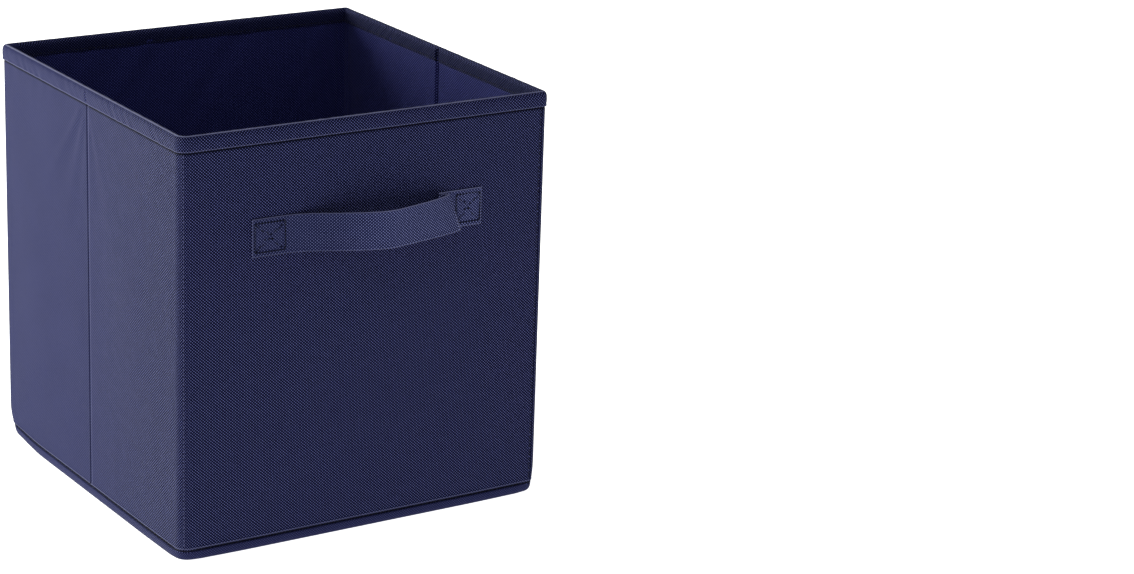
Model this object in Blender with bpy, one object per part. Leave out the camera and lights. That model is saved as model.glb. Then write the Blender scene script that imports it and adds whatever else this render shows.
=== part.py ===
"""Collapsible fabric storage bin: six sewn wall panels hinged on vertical fabric folds, a loose base
insert and one sewn strap handle. Metres, +Z up, origin on the floor under the centre of the walls,
handle towards -Y.

Every wall is drawn once, in a wall frame: X runs along the wall, -Y points out of the bin, Z is up,
and the origin is on the bin's vertical centre line. A wall is then turned about Z into its place.
"""

import math

import bmesh
import bpy
from mathutils import Matrix

MM = 0.001

# Driving dimensions, in millimetres.
OUTER_HALF = 133.5        # centre line to the outer face of the rim binding, on all four sides
BIN_HEIGHT = 279.0
FABRIC = 0.6              # one layer of non-woven fabric
BOARD = 2.0               # stiffening board inside each wall
GAP = 0.3                 # clearance between pieces that touch
BINDING = 0.7             # binding strip, folded double and pressed
RIM_BAND = 10.0           # height of the rim binding on both faces of the wall
FOOT_BAND = 6.5           # height of the seam binding round the floor
CORNER_RADIUS = 2.0       # bend of the fabric round a board's vertical edge
PLAN_RADIUS = 8.0         # corners of the floor and of the insert, seen from above
INSERT_HALF = 126.5
CREASE_GAP = 0.3          # from a side wall's centre line to the edge of each half
MITRE_GAP = 0.2
HINGE_GAP = 0.3           # from a hinge line to the binding that folds against it
ARC_STEPS = 5

SEAM_TAPE_WIDTH = 8.0     # tape over the seam that closes the ring of walls, at the right front corner

STRAP_WIDTH = 25.0
STRAP_THICKNESS = 1.4
STRAP_HEIGHT = 208.5      # floor to the middle of the strap
STRAP_HALF_LENGTH = 83.5  # centre to the end of the sewn patch
LOOP_HALF = 61.5          # centre to the stitch line where the strap leaves the wall
LOOP_BULGE = 20.5
LOOP_CREST_X = 5.0        # the loop's crest sits a little right of centre
LOOP_RIGHT_POWER = 2.4    # how full the loop stays right of its crest
LOOP_STEPS = 14           # steps on each side of the crest
THREAD_WIDTH = 0.8
THREAD_HEIGHT = 0.4
STITCH_INSET = 3.0        # from the patch's edge to the stitching

# Depths from the centre line, outside to inside.
FABRIC_OUT = OUTER_HALF - BINDING - GAP
FABRIC_IN = FABRIC_OUT - FABRIC
BOARD_OUT = FABRIC_IN - GAP
BOARD_IN = BOARD_OUT - BOARD
LINING_OUT = BOARD_IN - GAP
LINING_IN = LINING_OUT - FABRIC
RIM_IN = LINING_IN - GAP - BINDING
HINGE_IN = RIM_IN - HINGE_GAP       # corner folds close on the inner faces
HINGE_OUT = OUTER_HALF + HINGE_GAP  # centre folds close on the outer faces
SIDE_END = LINING_IN - GAP          # the side walls stop just behind the front and back walls

# Heights.
WALL_BOTTOM = FOOT_BAND + GAP
WALL_TOP = BIN_HEIGHT - BINDING - GAP
BOARD_MARGIN = 1.0        # fabric beyond the board on all four edges
BOARD_REACH = 128.0       # boards stop this far from the middle, short of the bin's corners
BOARD_FOOT_RADIUS = 14.0  # a board's lower corner, where it stands in a corner of the bin

NAVY = (0.020, 0.023, 0.062)
NAVY_INSIDE = (0.012, 0.014, 0.040)
NAVY_THREAD = (0.010, 0.012, 0.036)
GREY_BOARD = (0.36, 0.31, 0.25)

# name: turn about Z in degrees, start and end along the wall, whether each end is a bin corner,
# hinge line in the bin's own X and Y, name of the wall that carries it
WALLS = {
    "back": (180, -FABRIC_OUT, FABRIC_OUT, True, True, (0, 0), None),
    "left_rear": (-90, -SIDE_END, -CREASE_GAP, True, False, (-HINGE_IN, HINGE_IN), "back"),
    "left_front": (-90, CREASE_GAP, SIDE_END, False, True, (-HINGE_OUT, 0), "left_rear"),
    "front": (0, -FABRIC_OUT, FABRIC_OUT, True, True, (-HINGE_IN, -HINGE_IN), "left_front"),
    "right_rear": (90, CREASE_GAP, SIDE_END, False, True, (HINGE_IN, HINGE_IN), "back"),
    "right_front": (90, -SIDE_END, -CREASE_GAP, True, False, (HINGE_OUT, 0), "right_rear"),
}


def clear_scene():
    for obj in list(bpy.data.objects):
        bpy.data.objects.remove(obj, do_unlink=True)


def material(name, colour, roughness):
    made = bpy.data.materials.new(name)
    made.use_nodes = True
    shader = made.node_tree.nodes["Principled BSDF"]
    shader.inputs["Base Color"].default_value = (*colour, 1.0)
    shader.inputs["Roughness"].default_value = roughness
    shader.inputs["Metallic"].default_value = 0.0
    return made


def add_object(name, mesh, colour, roughness=0.85):
    obj = bpy.data.objects.new(name, mesh)
    obj.data.materials.append(material(name, colour, roughness))
    bpy.context.scene.collection.objects.link(obj)
    return obj


def mesh_of(bm, name):
    bmesh.ops.recalc_face_normals(bm, faces=bm.faces)
    mesh = bpy.data.meshes.new(name)
    bm.to_mesh(mesh)
    bm.free()
    mesh.transform(Matrix.Scale(MM, 4))
    mesh.shade_smooth()
    mesh.set_sharp_from_angle(angle=math.radians(30))
    return mesh


def upright(name, outline, bottom, top):
    """A closed outline in X and Y, drawn up from bottom to top."""
    bm = bmesh.new()
    base = bm.faces.new([bm.verts.new((x, y, bottom)) for x, y in outline])
    raised = bmesh.ops.extrude_face_region(bm, geom=[base])["geom"]
    corners = [item for item in raised if isinstance(item, bmesh.types.BMVert)]
    bmesh.ops.translate(bm, verts=corners, vec=(0, 0, top - bottom))
    return mesh_of(bm, name)


def lengthwise(name, profile, start_of, end_of):
    """A closed profile in Y and Z, drawn along X. Each of its points has its own start and end in X."""
    bm = bmesh.new()
    starts = [bm.verts.new((start_of(y), y, z)) for y, z in profile]
    ends = [bm.verts.new((end_of(y), y, z)) for y, z in profile]
    bm.faces.new(starts)
    bm.faces.new(ends)
    for i in range(len(profile)):
        j = (i + 1) % len(profile)
        bm.faces.new([starts[i], starts[j], ends[j], ends[i]])
    return mesh_of(bm, name)


def panel(name, outline, front, back):
    """A closed outline in X and Z, drawn in Y from its front face to its back face."""
    mesh = upright(name, [(x, -z) for x, z in outline], front, back)
    mesh.transform(Matrix.Rotation(math.radians(-90), 4, "X"))
    return mesh


def block(name, low, high):
    outline = [(low[0], low[1]), (high[0], low[1]), (high[0], high[1]), (low[0], high[1])]
    return upright(name, outline, low[2], high[2])


def arc(centre, radius, start, end):
    """Points on an arc, with its angles in degrees."""
    angles = [math.radians(start + (end - start) * i / ARC_STEPS) for i in range(ARC_STEPS + 1)]
    return [(centre[0] + radius * math.cos(a), centre[1] + radius * math.sin(a)) for a in angles]


def rounded_square(half, radius):
    inner = half - radius
    corners = [(inner, inner), (-inner, inner), (-inner, -inner), (inner, -inner)]
    return [point for i, corner in enumerate(corners) for point in arc(corner, radius, 90 * i, 90 * i + 90)]


def channel(start, end):
    """A fabric channel seen from above: a straight sheet whose two ends turn in round the board."""
    depth = FABRIC_OUT - CORNER_RADIUS
    inner_radius = CORNER_RADIUS - FABRIC
    left = (start + CORNER_RADIUS, -depth)
    right = (end - CORNER_RADIUS, -depth)
    outside = [(start, -LINING_IN), *arc(left, CORNER_RADIUS, 180, 270)]
    outside += [*arc(right, CORNER_RADIUS, 270, 360), (end, -LINING_IN)]
    inside = [(end - FABRIC, -LINING_IN), *arc(right, inner_radius, 360, 270)]
    inside += [*arc(left, inner_radius, 270, 180), (start + FABRIC, -LINING_IN)]
    return outside + inside


def rim_profile():
    """The binding folded over the wall's top edge, in Y and Z."""
    low, high, fold = BIN_HEIGHT - RIM_BAND, BIN_HEIGHT, BIN_HEIGHT - BINDING
    out, back = -OUTER_HALF, -RIM_IN
    return [
        (out, low), (out, high), (back, high), (back, low),
        (back - BINDING, low), (back - BINDING, fold), (out + BINDING, fold), (out + BINDING, low),
    ]


def foot_profile():
    """The seam binding: up the outside of the wall's lower edge, and in under it."""
    out, back = -OUTER_HALF, -LINING_IN
    return [
        (out, 0), (out, FOOT_BAND), (out + BINDING, FOOT_BAND), (out + BINDING, BINDING),
        (back, BINDING), (back, 0),
    ]


def wall_end(position, is_corner):
    """Where a binding ends: mitred at a corner of the bin, square at a centre fold."""
    side = math.copysign(1, position)
    if is_corner:
        return lambda y: side * (-y - MITRE_GAP)
    return lambda y: position


def board_outline(start, end, start_is_corner, end_is_corner):
    """A wall's board seen from outside, with its lower corners rounded off in the bin's corners."""
    bottom, top, radius = WALL_BOTTOM + BOARD_MARGIN, WALL_TOP - BOARD_MARGIN, BOARD_FOOT_RADIUS
    left_foot = arc((start + radius, bottom + radius), radius, 180, 270)
    right_foot = arc((end - radius, bottom + radius), radius, 270, 360)
    return [
        (start, top),
        *(left_foot if start_is_corner else [(start, bottom)]),
        *(right_foot if end_is_corner else [(end, bottom)]),
        (end, top),
    ]


def wall_pieces(name, start, end, start_is_corner, end_is_corner):
    """One wall's sub-parts, in the wall frame."""
    pocket = FABRIC + GAP
    inner_start, inner_end = start + pocket, end - pocket
    ends = wall_end(start, start_is_corner), wall_end(end, end_is_corner)
    board_span = max(inner_start + BOARD_MARGIN, -BOARD_REACH), min(inner_end - BOARD_MARGIN, BOARD_REACH)
    outline = board_outline(*board_span, start_is_corner, end_is_corner)
    board = panel(f"{name}_board", outline, -BOARD_OUT, -BOARD_IN)
    lining_low = (inner_start, -LINING_OUT, WALL_BOTTOM)
    lining_high = (inner_end, -LINING_IN, WALL_TOP)
    fabric = upright(f"{name}_outer_fabric", channel(start, end), WALL_BOTTOM, WALL_TOP)
    return [
        add_object(f"{name}_outer_fabric", fabric, NAVY),
        add_object(f"{name}_board", board, GREY_BOARD, 0.95),
        add_object(f"{name}_lining", block(f"{name}_lining", lining_low, lining_high), NAVY_INSIDE),
        add_object(f"{name}_rim_binding", lengthwise(f"{name}_rim", rim_profile(), *ends), NAVY),
        add_object(f"{name}_foot_binding", lengthwise(f"{name}_foot", foot_profile(), *ends), NAVY),
    ]


def pivot(name, x, y, z, turn, parent):
    """An empty on a joint's axis, carried by its parent, with the pair left in place."""
    empty = bpy.data.objects.new(name, None)
    bpy.context.scene.collection.objects.link(empty)
    empty.location = (x * MM, y * MM, z * MM)
    empty.rotation_euler = (0, 0, math.radians(turn))
    carry(empty, parent)
    return empty


def carry(obj, parent):
    """Parents obj while it keeps its place in the bin."""
    if parent is not None:
        bpy.context.view_layer.update()
        obj.parent = parent
        obj.matrix_parent_inverse = parent.matrix_world.inverted()


def build_walls():
    pivots = {None: None}
    for name, (turn, start, end, start_is_corner, end_is_corner, hinge, parent) in WALLS.items():
        pivots[name] = pivot(f"{name}_pivot", *hinge, 0, turn, pivots[parent])
        for piece in wall_pieces(name, start, end, start_is_corner, end_is_corner):
            piece.rotation_euler = (0, 0, math.radians(turn))
            carry(piece, pivots[name])
    return pivots


def build_closing_seam(front):
    """The tape inside the right front corner. It folds with the right wall's front half."""
    seam = pivot("closing_seam_pivot", HINGE_IN, -HINGE_IN, 0, 0, front)
    outer = LINING_IN - GAP
    low = (outer - FABRIC, GAP - outer, WALL_BOTTOM)
    high = (outer, GAP - outer + SEAM_TAPE_WIDTH, BIN_HEIGHT - RIM_BAND - GAP)
    carry(add_object("closing_seam_tape", block("closing_seam_tape", low, high), NAVY_INSIDE), seam)


def cut(obj, mesh):
    """Takes a closed mesh away from obj."""
    cutter = bpy.data.objects.new(f"{obj.name}_cutter", mesh)
    bpy.context.scene.collection.objects.link(cutter)
    cutter.hide_render = True
    cutter.display_type = "WIRE"
    cutter.parent = obj
    boolean = obj.modifiers.new("cut", "BOOLEAN")
    boolean.object = cutter
    boolean.solver = "EXACT"


def build_floor(carrier):
    outline = rounded_square(LINING_IN - GAP, PLAN_RADIUS)
    floor = add_object("floor_fabric", upright("floor_fabric", outline, 0, FABRIC), NAVY_INSIDE)
    carry(floor, carrier)


def build_insert(carrier):
    """The loose base: a board between a flat lower sheet and an upper sheet that wraps its edge."""
    insert = pivot("insert_pivot", 0, 0, 0, 0, carrier)
    lower_bottom = FABRIC + GAP
    board_bottom = lower_bottom + FABRIC + GAP
    board_top = board_bottom + BOARD
    cover_top = board_top + GAP + FABRIC
    outline = rounded_square(INSERT_HALF, PLAN_RADIUS)
    board_outline = rounded_square(INSERT_HALF - FABRIC - GAP, PLAN_RADIUS - FABRIC - GAP)
    recess_outline = rounded_square(INSERT_HALF - FABRIC, PLAN_RADIUS - FABRIC)
    lower = upright("insert_cover_lower", outline, lower_bottom, lower_bottom + FABRIC)
    board = upright("insert_board", board_outline, board_bottom, board_top)
    upper = upright("insert_cover_upper", outline, board_bottom, cover_top)
    recess = upright("insert_recess", recess_outline, board_bottom - FABRIC, cover_top - FABRIC)
    upper_object = add_object("insert_cover_upper", upper, NAVY_INSIDE)
    cut(upper_object, recess)
    for piece in (
        add_object("insert_cover_lower", lower, NAVY_INSIDE),
        add_object("insert_board", board, GREY_BOARD, 0.95),
        upper_object,
    ):
        carry(piece, insert)


def loop_bulge(x):
    """How far the strap stands off the wall at x: an S rise to the crest, then a fuller fall."""
    if x <= LOOP_CREST_X:
        rise = (x + LOOP_HALF) / (LOOP_CREST_X + LOOP_HALF)
        return LOOP_BULGE * rise * rise * (3 - 2 * rise)
    fall = (x - LOOP_CREST_X) / (LOOP_HALF - LOOP_CREST_X)
    return LOOP_BULGE * (1 - fall**LOOP_RIGHT_POWER)


def strap_line():
    """The strap's inner face seen from above, from its left end to its right end."""
    wall = -(FABRIC_OUT + GAP)
    spans = ((-LOOP_HALF, LOOP_CREST_X), (LOOP_CREST_X, LOOP_HALF))
    loop = [a + (b - a) * i / LOOP_STEPS for a, b in spans for i in range(LOOP_STEPS)]
    points = [(x, wall - loop_bulge(x)) for x in [*loop, LOOP_HALF]]
    return [(-STRAP_HALF_LENGTH, wall), *points, (STRAP_HALF_LENGTH, wall)]


def offset_line(line, distance):
    """The line moved sideways, to its right when followed from its first point."""
    moved = []
    for i, (x, y) in enumerate(line):
        before, after = line[max(i - 1, 0)], line[min(i + 1, len(line) - 1)]
        run, rise = after[0] - before[0], after[1] - before[1]
        length = math.hypot(run, rise)
        moved.append((x + distance * rise / length, y - distance * run / length))
    return moved


def build_strap(front):
    line = strap_line()
    outline = line + offset_line(line, STRAP_THICKNESS)[::-1]
    bottom, top = STRAP_HEIGHT - STRAP_WIDTH / 2, STRAP_HEIGHT + STRAP_WIDTH / 2
    strap = add_object("handle_strap", upright("handle_strap", outline, bottom, top), NAVY)
    carry(strap, pivot("handle_pivot", 0, -FABRIC_OUT, STRAP_HEIGHT, 0, front))


def stitching(side):
    """Box stitching with a cross through it, as one thread lattice lying on a sewn strap end."""
    half_x = (STRAP_HALF_LENGTH - LOOP_HALF) / 2 - STITCH_INSET
    half_z = STRAP_WIDTH / 2 - STITCH_INSET
    centre_x = side * (STRAP_HALF_LENGTH + LOOP_HALF) / 2
    face = -(FABRIC_OUT + GAP + STRAP_THICKNESS + GAP)
    reach_x, reach_z = half_x - THREAD_WIDTH, half_z - THREAD_WIDTH
    diagonal = math.hypot(reach_x, reach_z)
    inset_x = THREAD_WIDTH * diagonal / (2 * reach_z)
    inset_z = THREAD_WIDTH * diagonal / (2 * reach_x)
    windows = [
        [(inset_x - reach_x, reach_z), (reach_x - inset_x, reach_z), (0, inset_z)],
        [(inset_x - reach_x, -reach_z), (reach_x - inset_x, -reach_z), (0, -inset_z)],
        [(reach_x, inset_z - reach_z), (reach_x, reach_z - inset_z), (inset_x, 0)],
        [(-reach_x, inset_z - reach_z), (-reach_x, reach_z - inset_z), (-inset_x, 0)],
    ]
    low = (centre_x - half_x, face - THREAD_HEIGHT, STRAP_HEIGHT - half_z)
    high = (centre_x + half_x, face, STRAP_HEIGHT + half_z)
    plate = block("stitching", low, high)
    bm = bmesh.new()
    for window in windows:
        rings = [
            [bm.verts.new((centre_x + x, y, STRAP_HEIGHT + z)) for x, z in window]
            for y in (face - 2 * THREAD_HEIGHT, face + THREAD_HEIGHT)
        ]
        for ring in rings:
            bm.faces.new(ring)
        for i in range(3):
            j = (i + 1) % 3
            bm.faces.new([rings[0][i], rings[0][j], rings[1][j], rings[1][i]])
    return plate, mesh_of(bm, "stitching_windows")


def build_stitching(front):
    for label, side in (("left", -1), ("right", 1)):
        plate, windows = stitching(side)
        obj = add_object(f"handle_stitching_{label}", plate, NAVY_THREAD, 0.7)
        cut(obj, windows)
        carry(obj, front)


def main():
    clear_scene()
    pivots = build_walls()
    build_closing_seam(pivots["front"])
    build_floor(pivots["back"])
    build_insert(pivots["back"])
    build_strap(pivots["front"])
    build_stitching(pivots["front"])


main()
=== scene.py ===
"""Looks of the folding fabric storage bin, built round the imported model: embossed fabric skins, sewn
bindings, stitching, the loose insert and the strap. Metres, +Z up, the handle towards -Y.

Nearly everything here lies on the ring of walls. A place on the ring is (q, z): q runs along the outer
fabric, anticlockwise seen from above, and is 0 in the middle of the front. Depth is the distance from
the bin's vertical centre line to a wall's surface. Shapes are worked out in millimetres.
"""

import math

import bpy
import numpy as np
from mathutils import Matrix, Vector


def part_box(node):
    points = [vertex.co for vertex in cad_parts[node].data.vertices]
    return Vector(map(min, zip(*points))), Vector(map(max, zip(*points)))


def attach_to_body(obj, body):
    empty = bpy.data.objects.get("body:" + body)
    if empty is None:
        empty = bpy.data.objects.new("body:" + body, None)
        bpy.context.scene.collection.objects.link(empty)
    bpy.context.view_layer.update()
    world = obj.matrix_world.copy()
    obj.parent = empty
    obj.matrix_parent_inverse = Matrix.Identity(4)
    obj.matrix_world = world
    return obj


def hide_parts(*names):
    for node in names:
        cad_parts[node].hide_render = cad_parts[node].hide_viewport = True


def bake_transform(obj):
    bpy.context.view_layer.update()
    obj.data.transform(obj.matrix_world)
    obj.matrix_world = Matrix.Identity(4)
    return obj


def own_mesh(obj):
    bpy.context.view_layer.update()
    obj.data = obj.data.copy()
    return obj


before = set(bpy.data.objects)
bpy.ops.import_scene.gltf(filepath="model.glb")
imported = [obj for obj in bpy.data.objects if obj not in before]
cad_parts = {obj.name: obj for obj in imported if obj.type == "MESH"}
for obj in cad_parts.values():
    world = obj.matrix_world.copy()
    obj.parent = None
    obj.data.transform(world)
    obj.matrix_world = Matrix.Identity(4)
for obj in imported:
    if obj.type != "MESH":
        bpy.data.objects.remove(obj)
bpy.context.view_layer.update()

MM = 0.001
UV_NAME = "fabric_uv"


def low(node, axis):
    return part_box(node)[0][axis] / MM


def high(node, axis):
    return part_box(node)[1][axis] / MM


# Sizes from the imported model, in millimetres.
WALL_OUT = -low("front_outer_fabric", 1)
BOARD_OUT = -low("front_board", 1)
LINING_OUT = -low("front_lining", 1)
LINING_IN = -high("front_lining", 1)
BAND_OUT = -low("front_rim_binding", 1)
RIM_IN = -high("front_rim_binding", 1)
TOP = high("front_rim_binding", 2)
RIM_SEAM = low("front_rim_binding", 2)
FOOT_SEAM = high("front_foot_binding", 2)
FOOT_IN = -high("front_foot_binding", 1)
FLOOR_HALF = high("floor_fabric", 0)
FLOOR_TOP = high("floor_fabric", 2)
INSERT_HALF = high("insert_cover_upper", 0)
STRAP_LOW = low("handle_strap", 2)
STRAP_HIGH = high("handle_strap", 2)
STRAP_END = high("handle_strap", 0)
STRAP_BACK = high("handle_strap", 1)
STRAP_FRONT = low("handle_strap", 1)
STITCH_FACE = low("handle_stitching_left", 1)

# Sizes of the soft detail, in millimetres.
FABRIC = 0.6
CORNER = 6.0              # a bend starts this far from the corner, and ends as far past it
FOLD = 3.0                # half width of the strip over a side wall's centre fold
# The next three hold one value for each corner, seen from above: front right, then anticlockwise.
RADIUS_TOP = np.array([3.0, 3.0, 3.0, 7.0])
RADIUS_FOOT = np.array([9.0, 24.0, 24.0, 9.0])
LIFT = np.array([0.5, 4.5, 4.5, 0.5])            # how far the floor's corners pull up
LIFT_REACH = 55.0         # how far along a wall that is felt
ROUNDED_TO = 24.0         # up to this height the corners open out towards the floor
LEAST_RADIUS = 0.4
FABRIC_LOW = 5.4          # the skins' edges, under the bindings
FABRIC_HIGH = TOP - 7.0
BULGE = 0.9               # how far a wall stands out in its middle
CLEAR = 0.05              # kept between the outer fabric's back and its board
FLOOR_TURN = 2.3          # the floor's edge reaches this much further out, over the foot binding
FOLD_IN = 1.8             # the lining is drawn back between the boards, at a centre fold
SEAM_WIDTH = 0.9
CHANNEL_INSET = 4.2       # from a corner of the front or back to the stitched line beside it
SEAM_INSET = 1.4          # the same line at the left front corner
LEFT_FRONT = 3            # its number among the corners
STITCH_PITCH = 3.2
STITCH_LENGTH = 2.5
THREAD = 0.3              # radius
FINE_THREAD = 0.25
THICK_THREAD = 0.38
THREAD_SIDES = 6
# A stitch from end to end: place along it as a share of half its length, then height above the cloth and
# thickness as shares of the thread's radius.
STITCH_SHAPE = [
    (-1.0, -0.5, 0.5), (-0.75, 0.35, 0.95), (0.0, 0.75, 1.0), (0.75, 0.35, 0.95), (1.0, -0.5, 0.5),
]
EMBOSS_X, EMBOSS_Z = 2.14, 1.98                  # the pressed pattern's period along and up a wall
EMBOSS_DEPTH = 0.16
FIBRE_DEPTH = 0.05
GRAIN_DEPTH = 0.08        # a thread's twist and the board's flecks

SIDE = 2 * WALL_OUT
BEND = WALL_OUT - CORNER


def spot(side, u):
    """A place along the ring. Sides count anticlockwise from the front, which is 0."""
    return side * SIDE + u


# Each strip of the ring: where it starts and ends, and the body or the two bodies that carry it.
SEGMENTS = {
    "front": (spot(0, -BEND), spot(0, BEND), ("front",)),
    "left_front": (spot(-1, FOLD), spot(0, -BEND), ("left_front", "front")),
    "left_fold": (spot(-1, -FOLD), spot(-1, FOLD), ("left_rear", "left_front")),
    "left_rear": (spot(-2, BEND), spot(-1, -FOLD), ("back", "left_rear")),
    "back": (spot(2, -BEND), spot(2, BEND), ("back",)),
    "right_rear": (spot(1, FOLD), spot(2, -BEND), ("right_rear", "back")),
    "right_fold": (spot(1, -FOLD), spot(1, FOLD), ("right_front", "right_rear")),
    "right_front": (spot(1, -BEND), spot(1, -FOLD), ("right_front",)),
    "right_corner": (spot(0, BEND), spot(1, -BEND), ("front", "closing_seam")),
}
CAD_WALLS = ("front", "left_front", "left_rear", "back", "right_rear", "right_front")


# ---------------------------------------------------------------- the ring


def side_of(q):
    side = np.round(q / SIDE)
    return side, q - side * SIDE


def corner_of(q):
    """Which corner is nearest: 0 is the right front one, and they count anticlockwise."""
    side, u = side_of(q)
    return np.mod(side + np.where(u < 0, -1, 0), 4).astype(int)


def corner_radius(q, z):
    """The bin's corners are tight, and open out where the walls meet the floor."""
    share = np.clip(z / ROUNDED_TO, 0, 1)
    corner = corner_of(q)
    start, end = RADIUS_TOP[corner], RADIUS_FOOT[corner]
    return start + (end - start) * (1 - share) ** 2.2


def foot_lift(q, z):
    """The floor's back corners pull up off the ground."""
    _, u = side_of(q)
    along = smooth(WALL_OUT - np.abs(u), LIFT_REACH, 0)
    return LIFT[corner_of(q)] * along * np.clip(1 - z / ROUNDED_TO, 0, 1) ** 1.5


def along_wall(u, depth):
    """u on the outer fabric moved to another depth, so that corners stay in line with corners."""
    size = np.abs(u)
    straight = BEND * 0.75
    near = straight + (size - straight) * (depth - CORNER - straight) / (BEND - straight)
    bent = np.where(size <= BEND, near, depth - WALL_OUT + size)
    return np.sign(u) * np.where(size <= straight, size, bent)


def ring(q, z, depth):
    """Points on the ring of walls and their outward normals."""
    q, z, depth = np.broadcast_arrays(*(np.asarray(a, float) for a in (q, z, depth)))
    side, u = side_of(q)
    u = along_wall(u, depth)
    z = z + foot_lift(q, z)
    radius = np.maximum(corner_radius(q, z) + depth - WALL_OUT, LEAST_RADIUS)
    straight = depth - radius
    turn = np.clip((np.abs(u) - straight) / radius, 0, 1) * math.pi / 4
    nx, ny = np.sign(u) * np.sin(turn), -np.cos(turn)
    x = np.sign(u) * np.minimum(np.abs(u), straight) + radius * nx
    y = -straight + radius * ny
    cos, sin = np.cos(side * math.pi / 2), np.sin(side * math.pi / 2)
    points = np.stack([x * cos - y * sin, x * sin + y * cos, z], -1)
    normals = np.stack([nx * cos - ny * sin, nx * sin + ny * cos, np.zeros_like(z)], -1)
    return points, normals


def attach(obj, segment):
    first, last, bodies = SEGMENTS[segment]
    if len(bodies) == 1:
        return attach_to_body(obj, bodies[0])
    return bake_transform(obj)


# ---------------------------------------------------------------- meshes


def new_object(name, points, faces, uv, finish):
    """points and uv are in millimetres, one row each per vertex."""
    mesh = bpy.data.meshes.new(name)
    mesh.from_pydata((points * MM).tolist(), [], faces)
    layer = mesh.uv_layers.new(name=UV_NAME)
    corners = np.empty(len(mesh.loops), np.int32)
    mesh.loops.foreach_get("vertex_index", corners)
    layer.data.foreach_set("uv", (uv[corners] * MM).astype(np.float32).ravel())
    mesh.shade_smooth()
    mesh.set_sharp_from_angle(angle=math.radians(50))
    mesh.materials.append(finish)
    obj = bpy.data.objects.new(name, mesh)
    bpy.context.scene.collection.objects.link(obj)
    return obj


def grid(rows, columns, base=0, flip=False, wrap=False):
    """Quads between rows x columns vertices. wrap joins the last column to the first."""
    this = np.arange(rows - 1)[:, None] * columns
    after = this + columns
    left = np.arange(columns if wrap else columns - 1)[None, :]
    right = (left + 1) % columns
    quads = np.stack([this + left, after + left, after + right, this + right], -1)
    quads = quads.reshape(-1, 4) + base
    return (quads[:, ::-1] if flip else quads).tolist()


def ends_of(rows, columns, base=0):
    """The two end faces of a tube whose rings are the rows of a wrapped grid."""
    last = base + (rows - 1) * columns
    return [[base + j for j in range(columns)], [last + j for j in reversed(range(columns))]]


def border_of(rows, columns):
    """The vertices round the edge of a grid, in order."""
    border = [i * columns for i in range(rows)] + [(rows - 1) * columns + j for j in range(1, columns)]
    border += [i * columns + columns - 1 for i in range(rows - 2, -1, -1)]
    return border + list(range(columns - 2, 0, -1))


def shell(name, q, z, outer, inner, finish):
    """A closed thin sheet on the ring, between two depths that may change from place to place."""
    across, up = np.meshgrid(q, z, indexing="ij")
    rows, columns = across.shape
    size = rows * columns
    outside = ring(across, up, outer(across, up))[0].reshape(-1, 3)
    inside = ring(across, up, inner(across, up))[0].reshape(-1, 3)
    flat = np.stack([across, up], -1).reshape(-1, 2)
    faces = grid(rows, columns) + grid(rows, columns, size, flip=True)
    border = border_of(rows, columns)
    faces += [[b, a, a + size, b + size] for a, b in zip(border, border[1:] + border[:1])]
    points, uv = np.concatenate([outside, inside]), np.concatenate([flat, flat])
    return new_object(name, points, faces, uv, finish)


def sweep(name, q, profile, pucker, finish):
    """A closed profile of (depth, z) points drawn along the ring."""
    profile = np.array(profile, float)
    across = np.repeat(q[:, None], len(profile), 1)
    depth, up = (np.repeat(profile[None, :, k], len(q), 0) for k in (0, 1))
    points = ring(across, up, depth + pucker(across, up, depth))[0].reshape(-1, 3)
    steps = np.linalg.norm(np.diff(profile, axis=0), axis=1)
    girth = np.concatenate([[0], np.cumsum(steps)])
    uv = np.stack([across, np.repeat(girth[None, :], len(q), 0)], -1).reshape(-1, 2)
    faces = grid(len(q), len(profile), wrap=True) + ends_of(len(q), len(profile))
    return new_object(name, points, faces, uv, finish)


def thread(name, starts, ends, normals, finish, radius=THREAD):
    """A row of stitches, each a short bowed length of thread that dives into the cloth at both ends."""
    along, middle = (ends - starts) / 2, (ends + starts) / 2
    half = np.linalg.norm(along, axis=1)
    binormal = np.cross(along / half[:, None], normals)
    points, uv = [], []
    for place, lift, width in STITCH_SHAPE:
        centre = middle + along * place + normals * radius * lift
        for angle in np.arange(THREAD_SIDES) * 2 * math.pi / THREAD_SIDES:
            spoke = binormal * math.cos(angle) + normals * math.sin(angle)
            points.append(centre + spoke * radius * width)
            uv.append(np.stack([(place + 1) * half, np.full(len(along), angle * radius)], -1))
    points, uv = np.stack(points, 1).reshape(-1, 3), np.stack(uv, 1).reshape(-1, 2)
    rings, faces = len(STITCH_SHAPE), []
    for n in range(len(starts)):
        base = n * rings * THREAD_SIDES
        faces += grid(rings, THREAD_SIDES, base, flip=True, wrap=True)
        faces += ends_of(rings, THREAD_SIDES, base)
    return new_object(name, points, faces, uv, finish)


def spaced(first, last, pitch, stitch):
    """The middles of the stitches between two places in a plane, and half a stitch's step."""
    first, last = np.array(first, float), np.array(last, float)
    length = np.linalg.norm(last - first)
    count = max(1, round(length / pitch))
    middle = first + (last - first) * ((np.arange(count) + 0.5) / count)[:, None]
    return middle, (last - first) / length * stitch / 2


def ring_row(first, last, depth):
    """Starts, ends and normals of the stitches between two (q, z) places."""
    middle, half = spaced(first, last, STITCH_PITCH, STITCH_LENGTH)
    starts = ring(*(middle - half).T, depth)[0]
    ends = ring(*(middle + half).T, depth)[0]
    return starts, ends, ring(*middle.T, depth)[1]


def joined(rows):
    return [np.concatenate(part) for part in zip(*rows)]


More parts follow.
